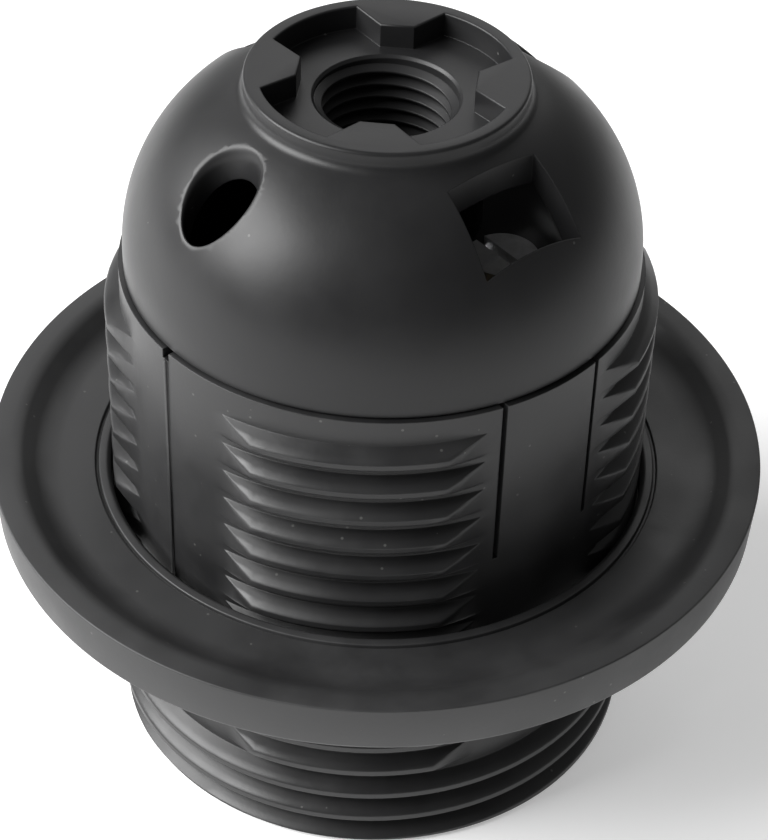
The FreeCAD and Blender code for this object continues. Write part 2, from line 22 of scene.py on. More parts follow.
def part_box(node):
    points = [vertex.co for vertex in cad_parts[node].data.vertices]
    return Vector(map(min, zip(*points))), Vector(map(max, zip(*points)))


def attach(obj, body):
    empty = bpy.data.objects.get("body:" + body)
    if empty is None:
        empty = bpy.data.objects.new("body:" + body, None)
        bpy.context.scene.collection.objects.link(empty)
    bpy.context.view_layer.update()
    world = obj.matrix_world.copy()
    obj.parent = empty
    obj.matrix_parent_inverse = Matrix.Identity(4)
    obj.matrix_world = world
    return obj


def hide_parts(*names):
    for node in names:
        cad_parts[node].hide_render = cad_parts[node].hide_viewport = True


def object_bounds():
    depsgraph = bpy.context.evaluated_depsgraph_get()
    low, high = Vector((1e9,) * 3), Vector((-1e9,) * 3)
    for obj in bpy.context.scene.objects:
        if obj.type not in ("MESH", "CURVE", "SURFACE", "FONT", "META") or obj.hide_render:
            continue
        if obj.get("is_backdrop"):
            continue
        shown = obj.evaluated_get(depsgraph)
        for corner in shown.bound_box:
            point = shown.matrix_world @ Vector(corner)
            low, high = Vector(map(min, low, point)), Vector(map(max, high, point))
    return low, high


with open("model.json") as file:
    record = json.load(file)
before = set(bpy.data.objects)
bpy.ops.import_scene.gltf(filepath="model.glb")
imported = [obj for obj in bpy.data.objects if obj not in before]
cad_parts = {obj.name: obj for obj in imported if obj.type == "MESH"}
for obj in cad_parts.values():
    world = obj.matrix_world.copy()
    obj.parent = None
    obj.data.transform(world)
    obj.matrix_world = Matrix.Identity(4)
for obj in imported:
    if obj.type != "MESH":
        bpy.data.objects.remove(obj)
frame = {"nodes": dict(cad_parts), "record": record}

LOG = logging.getLogger("lampholder")
MM = 0.001
TURN = 360.0       # degrees
SHARP = 30.0       # degrees: edges that fold by more than this stay sharp
NEAR = 1e-4        # millimetres: places closer than this count as one
HAIR = 1e-6        # millimetres: room for a rounding error
WHITE = (1.0, 1.0, 1.0, 1.0)

Point = tuple[float, float]
Colour = tuple[float, float, float]
Value = float | NodeSocket


class Body(Enum):
    """The moving bodies that a piece can ride on."""

    HOLDER = "holder"
    CAP = "cap"
    RING = "ring"


class Slot(Enum):
    """The record's material slots."""

    SKIRT = "skirt_plastic"
    CAP = "cap_plastic"
    RING = "ring_plastic"
    CARRIER = "carrier_plastic"
    CONTACT = "contact_metal"
    RIVET = "rivet_metal"
    SCREW = "screw_metal"


# ------------------------------ mesh helpers


def shade(bm: BMesh, sharp_degrees: float) -> None:
    """Shades every face smooth and keeps the edges sharp that fold by more than an angle."""
    for face in bm.faces:
        face.smooth = True
    for edge in bm.edges:
        edge.smooth = (len(edge.link_faces) == 2
                       and edge.calc_face_angle() < math.radians(sharp_degrees))


def finish_mesh(bm: BMesh, name: str, sharp_degrees: float = SHARP) -> Object:
    """Turns a bmesh in millimetres into a shaded object in metres.

    Args:
        bm: the finished bmesh, which is freed.
        name: name of the new object.
        sharp_degrees: edges that fold by more than this stay sharp.

    Returns:
        The new object, linked to the scene.
    """
    bmesh.ops.scale(bm, vec=(MM, MM, MM), verts=bm.verts)
    bmesh.ops.recalc_face_normals(bm, faces=bm.faces)
    shade(bm, sharp_degrees)
    mesh = bpy.data.meshes.new(name)
    bm.to_mesh(mesh)
    bm.free()
    piece = bpy.data.objects.new(name, mesh)
    bpy.context.scene.collection.objects.link(piece)
    return piece


def add_chain(bm: BMesh, points: list[Point], closed: bool) -> None:
    """Adds a chain of edges through (radius, height) points in the XZ plane.

    Args:
        bm: bmesh that takes the chain.
        points: radius and height of each vertex.
        closed: whether the last point joins the first.
    """
    verts = [bm.verts.new((radius, 0.0, height)) for radius, height in points]
    pairs = list(zip(verts, verts[1:]))
    if closed:
        pairs.append((verts[-1], verts[0]))
    for pair in pairs:
        bm.edges.new(pair)


def bevel(bm: BMesh, geom: list, offset: float, segments: int, affect: str) -> None:
    """Rounds edges or corners.

    Args:
        bm: bmesh that holds them.
        geom: the edges or vertices.
        offset: how far they are cut back.
        segments: number of steps in the rounding.
        affect: EDGES or VERTICES.
    """
    bmesh.ops.bevel(bm, geom=geom, offset=offset, offset_type="OFFSET", segments=segments,
                    profile=0.5, affect=affect, material=-1, clamp_overlap=True)


def round_corners(bm: BMesh, radii: dict[int, float], segments: int) -> None:
    """Rounds chosen corners of a closed outline, counted in the order they were added.

    Args:
        bm: bmesh that holds one outline.
        radii: how far each corner is cut back, by its number.
        segments: number of edges in each rounding.
    """
    bm.verts.ensure_lookup_table()
    corners = {number: bm.verts[number] for number in radii}
    for number, corner in corners.items():
        bevel(bm, [corner], radii[number], segments, "VERTICES")


def spin(bm: BMesh, steps: int, angle: float = math.tau, rise: float = 0.0) -> None:
    """Spins everything in the bmesh about Z. Without a rise it closes on itself.

    Args:
        bm: bmesh that holds the profile.
        steps: number of steps.
        angle: angle of all the steps, in radians.
        rise: height gained in each step.
    """
    bmesh.ops.spin(bm, geom=list(bm.verts) + list(bm.edges), cent=(0, 0, 0), axis=(0, 0, 1),
                   dvec=(0, 0, rise), angle=angle, steps=steps, use_merge=rise == 0,
                   use_duplicate=False)


def box_between(bm: BMesh, low: tuple[float, float, float],
                high: tuple[float, float, float], rounding: float = 0.0) -> None:
    """Adds a box between two corners, with its edges rounded if rounding isn't zero."""
    middle = [(a + b) / 2 for a, b in zip(low, high)]
    reach = [b - a for a, b in zip(low, high)]
    made = bmesh.ops.create_cube(bm, size=1.0)["verts"]
    bmesh.ops.scale(bm, vec=reach, verts=made)
    bmesh.ops.translate(bm, vec=middle, verts=made)
    if rounding > 0:
        edges = dict.fromkeys(edge for vert in made for edge in vert.link_edges)
        bevel(bm, list(edges), rounding, 2, "EDGES")


def prism(bm: BMesh, corners: list[Point], low: float, high: float) -> None:
    """Adds an upright prism over the corners of its floor."""
    base = bm.faces.new([bm.verts.new((x, y, low)) for x, y in corners])
    made = bmesh.ops.extrude_face_region(bm, geom=[base])["geom"]
    top = [item for item in made if isinstance(item, BMVert)]
    bmesh.ops.translate(bm, vec=(0, 0, high - low), verts=top)


def raise_end(bm: BMesh, end: BMFace) -> BMFace:
    """Extrudes an end face by nothing, ready to be moved, and returns the new end."""
    walled = any(len(edge.link_faces) > 1 for edge in end.edges)
    made = bmesh.ops.extrude_face_region(bm, geom=[end])["geom"]
    if walled and end.is_valid:
        bmesh.ops.delete(bm, geom=[end], context="FACES_ONLY")
    return next(item for item in made if isinstance(item, BMFace))


def combine(piece: Object, other: Object, operation: str, sharp_degrees: float = SHARP) -> None:
    """Joins another closed mesh to the piece or cuts it away, and removes the other.

    Args:
        piece: object whose mesh is changed.
        other: closed mesh that is joined or taken away.
        operation: UNION or DIFFERENCE.
        sharp_degrees: edges that fold by more than this stay sharp.
    """
    change = piece.modifiers.new("combine", "BOOLEAN")
    change.operation = operation
    change.solver = "EXACT"
    change.object = other
    depsgraph = bpy.context.evaluated_depsgraph_get()
    result = bpy.data.meshes.new_from_object(piece.evaluated_get(depsgraph))
    piece.modifiers.clear()
    bm = bmesh.new()
    bm.from_mesh(result)
    shade(bm, sharp_degrees)
    bm.to_mesh(piece.data)
    bm.free()
    bpy.data.meshes.remove(result)
    bpy.data.objects.remove(other)


def helix_ridge(bm: BMesh, outline: list[Point], pitch: float, turns: float,
                steps: int) -> None:
    """Winds a closed outline round Z as one ridge with capped ends.

    Args:
        bm: empty bmesh that takes the ridge.
        outline: radius and height of each corner at the start.
        pitch: rise in one turn.
        turns: number of turns.
        steps: steps in one turn.
    """
    add_chain(bm, outline, closed=True)
    total = int(round(turns * steps))
    spin(bm, total, math.tau * total / steps, pitch / steps)
    ends = [edge for edge in bm.edges if edge.is_boundary]
    bmesh.ops.holes_fill(bm, edges=ends, sides=len(outline))


# ------------------------------ finishes


def set_inputs(node: Node, values: dict[str, float | tuple]) -> None:
    """Sets a node's inputs by their names."""
    for label, value in values.items():
        node.inputs[label].default_value = value


def new_material(name: str) -> tuple[Material, Node]:
    """Makes a material and returns it with its Principled shader."""
    made = bpy.data.materials.new(name)
    made.use_nodes = True
    return made, made.node_tree.nodes["Principled BSDF"]


def new_group(name: str, inputs: dict[str, float], outputs: list[str]) -> ShaderNodeTree:
    """Makes an empty shader node group with float sockets.

    Args:
        name: name of the group.
        inputs: default value of each input by its name.
        outputs: names of the outputs.

    Returns:
        The group with its input and output nodes.
    """
    group = bpy.data.node_groups.new(name, "ShaderNodeTree")
    for label, value in inputs.items():
        socket = group.interface.new_socket(label, in_out="INPUT",
                                            socket_type="NodeSocketFloat")
        socket.default_value = value
    for label in outputs:
        group.interface.new_socket(label, in_out="OUTPUT", socket_type="NodeSocketFloat")
    group.nodes.new("NodeGroupInput")
    group.nodes.new("NodeGroupOutput")
    return group


def math_node(tree: NodeTree, operation: str, *values: Value) -> NodeSocket:
    """Adds a math node.

    Args:
        tree: tree that takes the node.
        operation: Blender's name of the operation.
        values: numbers or sockets, in the order of the node's inputs.

    Returns:
        The node's output.
    """
    node = tree.nodes.new("ShaderNodeMath")
    node.operation = operation
    for place, value in enumerate(values):
        if isinstance(value, NodeSocket):
            tree.links.new(value, node.inputs[place])
        else:
            node.inputs[place].default_value = value
    return node.outputs[0]


def noise_node(tree: NodeTree, scale: NodeSocket, detail: float,
               roughness: float) -> NodeSocket:
    """Adds a noise texture on Object coordinates.

    Args:
        tree: tree that takes the node.
        scale: cells in a metre.
        detail: number of octaves.
        roughness: strength of each finer octave.

    Returns:
        The noise value.
    """
    place = tree.nodes.new("ShaderNodeTexCoord").outputs["Object"]
    node = tree.nodes.new("ShaderNodeTexNoise")
    set_inputs(node, {"Detail": detail, "Roughness": roughness})
    tree.links.new(place, node.inputs["Vector"])
    tree.links.new(scale, node.inputs["Scale"])
    return node.outputs["Fac"]


@cache
def mould_grain() -> ShaderNodeTree:
    """The fine spark-eroded grain of a mould: a height and a slow cloud over it."""
    coarse_scale, coarse_height = 0.22, 0.8      # beside the fine grain's
    cloud_from, cloud_gain = 0.36, 3.6           # noise where the cloud starts, and its rise
    group = new_group("mould_grain", {"Grain Scale": 2600.0, "Cloud Scale": 160.0},
                      ["Height", "Cloud"])
    start, end = group.nodes["Group Input"], group.nodes["Group Output"]
    fine = noise_node(group, start.outputs["Grain Scale"], detail=3.0, roughness=0.6)
    wide = math_node(group, "MULTIPLY", start.outputs["Grain Scale"], coarse_scale)
    coarse = noise_node(group, wide, detail=2.0, roughness=0.5)
    height = math_node(group, "ADD", fine, math_node(group, "MULTIPLY", coarse, coarse_height))
    cloud = noise_node(group, start.outputs["Cloud Scale"], detail=4.0, roughness=0.55)
    spread = math_node(group, "MULTIPLY", math_node(group, "SUBTRACT", cloud, cloud_from),
                       cloud_gain)
    group.links.new(height, end.inputs["Height"])
    group.links.new(math_node(group, "MINIMUM", math_node(group, "MAXIMUM", spread, 0.0),
                              1.0), end.inputs["Cloud"])
    return group


@cache
def soft_edges() -> ShaderNodeTree:
    """A normal that rounds every sharp edge of a moulding a little."""
    group = new_group("soft_edges", {"Radius": 0.12 * MM}, [])
    group.interface.new_socket("Normal", in_out="OUTPUT", socket_type="NodeSocketVector")
    start, end = group.nodes["Group Input"], group.nodes["Group Output"]
    round_over = group.nodes.new("ShaderNodeBevel")
    round_over.samples = 6
    group.links.new(start.outputs["Radius"], round_over.inputs["Radius"])
    group.links.new(round_over.outputs["Normal"], end.inputs["Normal"])
    return group


@cache
def dust_specks() -> ShaderNodeTree:
    """Sparse pale specks of dust and flash left on the plastic."""
    speck_reach, speck_share = 0.15, 0.06        # in cells, and of all cells at amount 1
    group = new_group("dust_specks", {"Scale": 1500.0, "Amount": 0.5}, ["Mask"])
    start, end = group.nodes["Group Input"], group.nodes["Group Output"]
    place = group.nodes.new("ShaderNodeTexCoord").outputs["Object"]
    cells = group.nodes.new("ShaderNodeTexVoronoi")
    group.links.new(place, cells.inputs["Vector"])
    group.links.new(start.outputs["Scale"], cells.inputs["Scale"])
    near = math_node(group, "LESS_THAN", cells.outputs["Distance"], speck_reach)
    split = group.nodes.new("ShaderNodeSeparateColor")
    group.links.new(cells.outputs["Color"], split.inputs["Color"])
    rare = math_node(group, "LESS_THAN", split.outputs["Red"],
                     math_node(group, "MULTIPLY", start.outputs["Amount"], speck_share))
    group.links.new(math_node(group, "MULTIPLY", near, rare), end.inputs["Mask"])
    return group


def mix_colour(tree: NodeTree, mask: NodeSocket, first: Colour | NodeSocket,
               second: Colour | NodeSocket) -> NodeSocket:
    """Mixes two colours by a mask.

    Args:
        tree: tree that takes the node.
        mask: 0 for the first colour, 1 for the second.
        first: colour as a socket or as three numbers.
        second: colour as a socket or as three numbers.

    Returns:
        The mixed colour.
    """
    node = tree.nodes.new("ShaderNodeMix")
    node.data_type = "RGBA"
    tree.links.new(mask, node.inputs["Factor"])
    for label, colour in (("A", first), ("B", second)):
        socket = next(s for s in node.inputs if s.name == label and s.type == "RGBA")
        if isinstance(colour, NodeSocket):
            tree.links.new(colour, socket)
        else:
            socket.default_value = (*colour, 1.0)
    return next(s for s in node.outputs if s.type == "RGBA")


def group_node(tree: NodeTree, group: ShaderNodeTree, values: dict[str, float]) -> Node:
    """Adds a node group to a tree with some of its inputs set."""
    node = tree.nodes.new("ShaderNodeGroup")
    node.node_tree = group
    set_inputs(node, values)
    return node


def bump_node(tree: NodeTree, height: NodeSocket, strength: float, depth: float) -> Node:
    """Adds a bump over a height that is so many millimetres deep."""
    node = tree.nodes.new("ShaderNodeBump")
    set_inputs(node, {"Strength": strength, "Distance": depth * MM})
    tree.links.new(height, node.inputs["Height"])
    return node


def roughen(tree: NodeTree, mask: NodeSocket, swing: float, least: float) -> None:
    """Drives the shader's roughness from its least value up by a swing where the mask is 1."""
    rise = math_node(tree, "MULTIPLY", mask, swing)
    tree.links.new(math_node(tree, "ADD", rise, least),
                   tree.nodes["Principled BSDF"].inputs["Roughness"])


@dataclass(frozen=True)
class MouldedPlastic:
    """Black thermoplastic as it comes out of a spark-eroded mould."""

    name: str
    colour: Colour
    cloud_colour: Colour
    roughness: float
    roughness_swing: float
    grain_scale: float = 2600.0
    grain_depth: float = 0.012
    grain_strength: float = 0.5
    speck_amount: float = 0.5
    speck_colour: Colour = (0.075, 0.075, 0.072)
    sheen: float = 0.5

    def material(self) -> Material:
        """Builds the finish as a material.

        Returns:
            A new material with the finish's name.
        """
        made, shader = new_material(self.name)
        tree = made.node_tree
        grain = group_node(tree, mould_grain(), {"Grain Scale": self.grain_scale})
        specks = group_node(tree, dust_specks(), {"Amount": self.speck_amount})
        set_inputs(shader, {"Specular IOR Level": self.sheen})
        body = mix_colour(tree, grain.outputs["Cloud"], self.colour, self.cloud_colour)
        dusted = mix_colour(tree, specks.outputs["Mask"], body, self.speck_colour)
        tree.links.new(dusted, shader.inputs["Base Color"])
        roughen(tree, grain.outputs["Cloud"], self.roughness_swing, self.roughness)
        bump = bump_node(tree, grain.outputs["Height"], self.grain_strength, self.grain_depth)
        edges = group_node(tree, soft_edges(), {})
        tree.links.new(edges.outputs["Normal"], bump.inputs["Normal"])
        tree.links.new(bump.outputs["Normal"], shader.inputs["Normal"])
        return made


@dataclass(frozen=True)
class WorkedMetal:
    """Rolled or turned metal with fine marks from its tool."""

    name: str
    colour: Colour
    dull_colour: Colour
    roughness: float
    roughness_swing: float = 0.15
    dull_scale: float = 700.0
    mark_scale: float = 1800.0
    mark_depth: float = 0.006
    mark_strength: float = 0.4

    def material(self) -> Material:
        """Builds the finish as a material.

        Returns:
            A new material with the finish's name.
        """
        made, shader = new_material(self.name)
        tree = made.node_tree
        set_inputs(shader, {"Metallic": 1.0})
        grain = group_node(tree, mould_grain(), {"Grain Scale": self.mark_scale,
                                                 "Cloud Scale": self.dull_scale})
        tree.links.new(mix_colour(tree, grain.outputs["Cloud"], self.colour,
                                  self.dull_colour), shader.inputs["Base Color"])
        roughen(tree, grain.outputs["Cloud"], self.roughness_swing, self.roughness)
        bump = bump_node(tree, grain.outputs["Height"], self.mark_strength, self.mark_depth)
        tree.links.new(bump.outputs["Normal"], shader.inputs["Normal"])
        return made


FINISHES: dict[Slot, MouldedPlastic | WorkedMetal] = {
    Slot.SKIRT: MouldedPlastic("skirt_plastic_finish", (0.013, 0.013, 0.0135),
                               (0.021, 0.021, 0.0215), 0.36, 0.10, speck_amount=1.2,
                               sheen=0.46),
    Slot.CAP: MouldedPlastic("cap_plastic_finish", (0.011, 0.011, 0.0115),
                             (0.014, 0.014, 0.0145), 0.37, 0.06, grain_depth=0.008,
                             speck_amount=0.2, sheen=0.34),
    Slot.RING: MouldedPlastic("ring_plastic_finish", (0.018, 0.018, 0.0185),
                              (0.027, 0.027, 0.0275), 0.42, 0.12, speck_amount=0.8),
    Slot.CARRIER: MouldedPlastic("carrier_plastic_finish", (0.017, 0.017, 0.017),
                                 (0.024, 0.024, 0.024), 0.5, 0.1),
    Slot.CONTACT: WorkedMetal("contact_brass", (0.72, 0.52, 0.24), (0.55, 0.38, 0.18), 0.28),
    Slot.RIVET: WorkedMetal("rivet_brass", (0.70, 0.50, 0.25), (0.52, 0.37, 0.18), 0.32),
    Slot.SCREW: WorkedMetal("screw_zinc", (0.46, 0.46, 0.47), (0.34, 0.34, 0.335), 0.40),
}


class Wardrobe:
    """Gives every piece and every solid its finish, one material for each slot."""

    def __init__(self) -> None:
        """Builds the materials."""
        self.materials = {slot: finish.material() for slot, finish in FINISHES.items()}

    def dress(self, piece: Object, slot: Slot, body: Body) -> None:
        """Finishes a new piece and seats it on its body.

        Args:
            piece: the new piece.
            slot: the record's slot that it takes its finish from.
            body: the body that it moves with.
        """
        piece.data.materials.clear()
        piece.data.materials.append(self.materials[slot])
        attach(piece, body.value)
        LOG.info("%s: %d faces on %s", piece.name, len(piece.data.polygons), body.value)

    def dress_solids(self) -> None:
        """Finishes the solids that stay in view."""
        slots = {row["node"]: row["material_slot"] for row in frame["record"]["subparts"]}
        for node, solid in frame["nodes"].items():
            solid.data.materials.clear()
            solid.data.materials.append(self.materials[Slot(slots[node])])


# ------------------------------ skirt


@dataclass
class ThreadedSkirt:
    """The outer moulding: coarse thread in four segments, slits, ribs and lamp tube."""

    wardrobe: Wardrobe
    crest: float = 20.0
    land: float = 18.85              # radius of the smooth ground between the turns
    pitch: float = 2.5
    crest_width: float = 0.6
    flank_degrees: float = 30.0
    flank_levels: Point = (0.5, 0.87)
    edge_level: float = 0.97         # where the rounding of the crest's edge sets in
    edge_share: float = 0.45         # of the rounding, at that level
    edge_rounding: float = 0.09
    crest_level: float = 0.95        # rows above it belong to the crest's edge
    start: float = -90.0             # angle at which the groove starts, on -X
    first_groove: float = -1.3125
    last_ridge: float = 38.6875      # no ridge stands above this height
    turns: int = 21                  # enough to pass both ends
    steps: int = 120
    weld: float = 0.004
    segment: float = 90.0            # angle from one gap to the next
    gap_floor: float = 6.5
    gap_root: float = 16.4           # angles from a gap's middle to its corners
    gap_crest: float = 25.3
    root_column: float = 18.0        # angles of the columns that move to those corners
    crest_column: float = 27.0
    thread_top: float = 38.3
    seam: float = 40.8
    rim_chamfer: float = 0.4
    shell_inside: float = 17.1
    web: float = 2.2
    tube_outside: float = 15.3
    tube_top: float = 17.0
    bore: float = 13.5
    mouth_chamfer: float = 0.8
    slit_offset: float = 4.1
    slit_width: float = 0.4
    slit_bottom: float = 27.0
    rib_width: float = 0.3
    rib_height: float = 0.15
    rib_rounding: float = 0.05
    notch: float = 0.7
    sharp_degrees: float = 25.0

    def half_width(self, level: float) -> float:
        """Half the ridge's width at a level from 0 at the root to 1 at the crest."""
        rise = (self.crest - self.land) * math.tan(math.radians(self.flank_degrees))
        return self.crest_width / 2 + rise * (1.0 - level)

    def ridge_rows(self) -> list[Point]:
        """Rows of one pitch, as (level, height from the ridge's middle), bottom up."""
        turn = self.edge_rounding
        lower = [(0.0, -self.pitch / 2)]
        lower += [(level, -self.half_width(level)) for level in (0.0, *self.flank_levels)]
        lower += [(self.edge_level, turn * self.edge_share - self.half_width(1.0)),
                  (1.0, turn - self.half_width(1.0))]
        return lower + [(level, -offset) for level, offset in reversed(lower)]

    def helix_height(self, degrees: float) -> float:
        """Height of the ridge that has the first groove just below it."""
        return self.first_groove + self.pitch / 2 + self.pitch * (degrees - self.start) / TURN

    def warp(self, gap_angle: float) -> float:
        """Moves a column so that the gap's corners fall on columns."""
        size = abs(gap_angle)
        marks = [(0.0, 0.0), (self.root_column, self.gap_root),
                 (self.crest_column, self.gap_crest), (self.segment / 2, self.segment / 2)]
        for (a, b), (c, d) in zip(marks, marks[1:]):
            if size <= c:
                return math.copysign(b + (size - a) / (c - a) * (d - b), gap_angle)
        return gap_angle

    def wind_thread(self, bm: BMesh) -> None:
        """Winds the rows of one pitch up the skirt and past both of its ends."""
        middle = self.helix_height(self.start) - self.pitch
        points = [(self.land + (self.crest - self.land) * level, middle + offset)
                  for level, offset in self.ridge_rows()]
        add_chain(bm, points, closed=False)
        bmesh.ops.rotate(bm, cent=(0, 0, 0), matrix=Matrix.Rotation(math.pi, 3, "Z"),
                         verts=bm.verts)
        spin(bm, self.steps * self.turns, math.tau * self.turns, self.pitch / self.steps)

    def ramp(self, gap_angle: float) -> float:
        """How much of the ridge stands there: 0 in a gap, 1 past its slanted side."""
        size = abs(gap_angle)
        return min(1.0, max(0.0, (size - self.gap_root) / (self.gap_crest - self.gap_root)))

    def shape_thread(self, bm: BMesh) -> None:
        """Parts the wound thread into segments and ends it below the land."""
        for vert in bm.verts:
            x, y, z = vert.co
            radius = math.hypot(x, y)
            degrees = math.degrees(math.atan2(x, -y))
            gap_angle = (degrees + self.segment / 2) % self.segment - self.segment / 2
            warped = self.warp(gap_angle)
            degrees += warped - gap_angle
            z += self.pitch * (warped - gap_angle) / TURN
            base = self.helix_height((degrees - self.start) % TURN + self.start)
            turn = round((z - base) / self.pitch)
            middle = base + turn * self.pitch
            offset = z - middle
            level = (radius - self.land) / (self.crest - self.land)
            share = self.ramp(warped) if middle > self.gap_floor else 1.0
            if middle > self.last_ridge:
                share = 0.0
            elif abs(offset) <= self.half_width(0.0) + HAIR and share < 1.0:
                top = self.half_width(share)
                if level > self.crest_level:
                    offset *= top / self.half_width(1.0)
                else:
                    offset = math.copysign(self.half_width(level * share), offset)
            level *= share
            radius = self.land + level * (self.crest - self.land)
            angle = math.radians(degrees)
            vert.co = (radius * math.sin(angle), -radius * math.cos(angle), middle + offset)
        bmesh.ops.remove_doubles(bm, verts=bm.verts, dist=self.weld)

    def trim_ends(self, bm: BMesh) -> None:
        """Cuts the wound surface flat at both ends and slopes it to the land and rim."""
        cuts = [(0.0, False, True), (self.rim_chamfer, False, False),
                (self.thread_top, False, False),
                (self.thread_top + self.crest - self.land, False, False),
                (self.seam, True, False)]
        for height, clear_above, clear_below in cuts:
            bmesh.ops.bisect_plane(bm, geom=list(bm.verts) + list(bm.edges) + list(bm.faces),
                                   dist=NEAR, plane_co=(0, 0, height), plane_no=(0, 0, 1),
                                   clear_outer=clear_above, clear_inner=clear_below)
        for vert in bm.verts:
            radius = math.hypot(vert.co.x, vert.co.y)
            limit = max(self.land, self.crest - max(0.0, vert.co.z - self.thread_top))
            limit = min(limit, self.crest - max(0.0, self.rim_chamfer - vert.co.z))
            if radius > limit:
                vert.co.x *= limit / radius
                vert.co.y *= limit / radius

    def close_inside(self, bm: BMesh) -> None:
        """Carries the top edge over the shell, down its inside and through the lamp tube."""
        def boundary(height: float) -> list[BMEdge]:
            return [edge for edge in bm.edges if edge.is_boundary
                    and all(abs(vert.co.z - height) < NEAR for vert in edge.verts)]

        bottom = boundary(0.0)
        loop = boundary(self.seam)
        path = [(self.shell_inside, self.seam), (self.shell_inside, self.web),
                (self.tube_outside, self.web), (self.tube_outside, self.tube_top),
                (self.bore, self.tube_top), (self.bore, self.mouth_chamfer),
                (self.bore + self.mouth_chamfer, 0.0)]
        for radius, height in path:
            made = bmesh.ops.extrude_edge_only(bm, edges=loop)["geom"]
            for vert in (item for item in made if isinstance(item, BMVert)):
                reach = math.hypot(vert.co.x, vert.co.y)
                vert.co = (vert.co.x * radius / reach, vert.co.y * radius / reach, height)
            loop = [item for item in made if isinstance(item, BMEdge) and item.is_boundary]
        bmesh.ops.bridge_loops(bm, edges=bottom + loop)

    def cutters(self) -> Object:
        """Closed boxes for the latch slits and for the notch above each index rib."""
        bm = bmesh.new()
        past, inward = 0.5, 2.5          # how far the notches and the slits overshoot
        for side in (-1, 1):
            low, high = sorted((side * (self.shell_inside - inward), side * self.crest))
            for middle in (-self.slit_offset, self.slit_offset):
                box_between(bm, (middle - self.slit_width / 2, low, self.slit_bottom),
                            (middle + self.slit_width / 2, high, self.seam + past))
            low, high = sorted((side * (self.shell_inside - past), side * self.crest))
            box_between(bm, (low, -self.notch / 2, self.seam - self.notch),
                        (high, self.notch / 2, self.seam + past))
        return finish_mesh(bm, "skirt_cutter")

    def add_ribs(self, piece: Object) -> None:
        """Adds the thin index rib in the middle of each of the two gaps on X."""
        bm = bmesh.new()
        bm.from_mesh(piece.data)
        bmesh.ops.scale(bm, vec=(1 / MM, 1 / MM, 1 / MM), verts=bm.verts)
        for side in (-1, 1):
            low, high = sorted((side * (self.land - self.rib_height),
                                side * (self.land + self.rib_height)))
            box_between(bm, (low, -self.rib_width / 2, self.gap_floor),
                        (high, self.rib_width / 2, self.seam - self.notch),
                        self.rib_rounding)
        bmesh.ops.scale(bm, vec=(MM, MM, MM), verts=bm.verts)
        shade(bm, self.sharp_degrees)
        bm.to_mesh(piece.data)
        bm.free()

    def build(self) -> None:
        """Builds the skirt and puts it in place of its solid."""
        bm = bmesh.new()
        self.wind_thread(bm)
        self.shape_thread(bm)
        self.trim_ends(bm)
        self.close_inside(bm)
        piece = finish_mesh(bm, "skirt_shell", self.sharp_degrees)
        combine(piece, self.cutters(), "DIFFERENCE", self.sharp_degrees)
        self.add_ribs(piece)
        self.wardrobe.dress(piece, Slot.SKIRT, Body.HOLDER)
        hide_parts("threaded_skirt")


@dataclass
class LampThread:
    """The rounded Edison thread inside the lamp tube."""

    wardrobe: Wardrobe
    bore: float = ThreadedSkirt.bore
    depth: float = 1.1
    pitch: float = 3.63
    half_share: float = 0.36         # half the ridge's width over the pitch
    fullness: float = 0.8            # below 1 the ridge is rounder than an ellipse
    sunk: float = 0.25               # how far the ridge reaches into the wall
    low: float = 2.4
    high: float = 15.6
    arc_steps: int = 8
    steps: int = 96
    sharp_degrees: float = 40.0

    def build(self) -> None:
        """Winds the rounded ridge up the bore."""
        bm = bmesh.new()
        half, wall = self.pitch * self.half_share, self.bore + self.sunk
        outline = [(wall, self.low - half), (wall, self.low + half)]
        for number in range(self.arc_steps + 1):
            angle = math.pi / 2 - math.pi * number / self.arc_steps
            outline.append((self.bore - self.depth * math.cos(angle) ** self.fullness,
                            self.low + half * math.sin(angle)))
        helix_ridge(bm, outline, self.pitch, (self.high - self.low) / self.pitch, self.steps)
        piece = finish_mesh(bm, "lamp_thread", self.sharp_degrees)
        self.wardrobe.dress(piece, Slot.SKIRT, Body.HOLDER)


# ------------------------------ cap


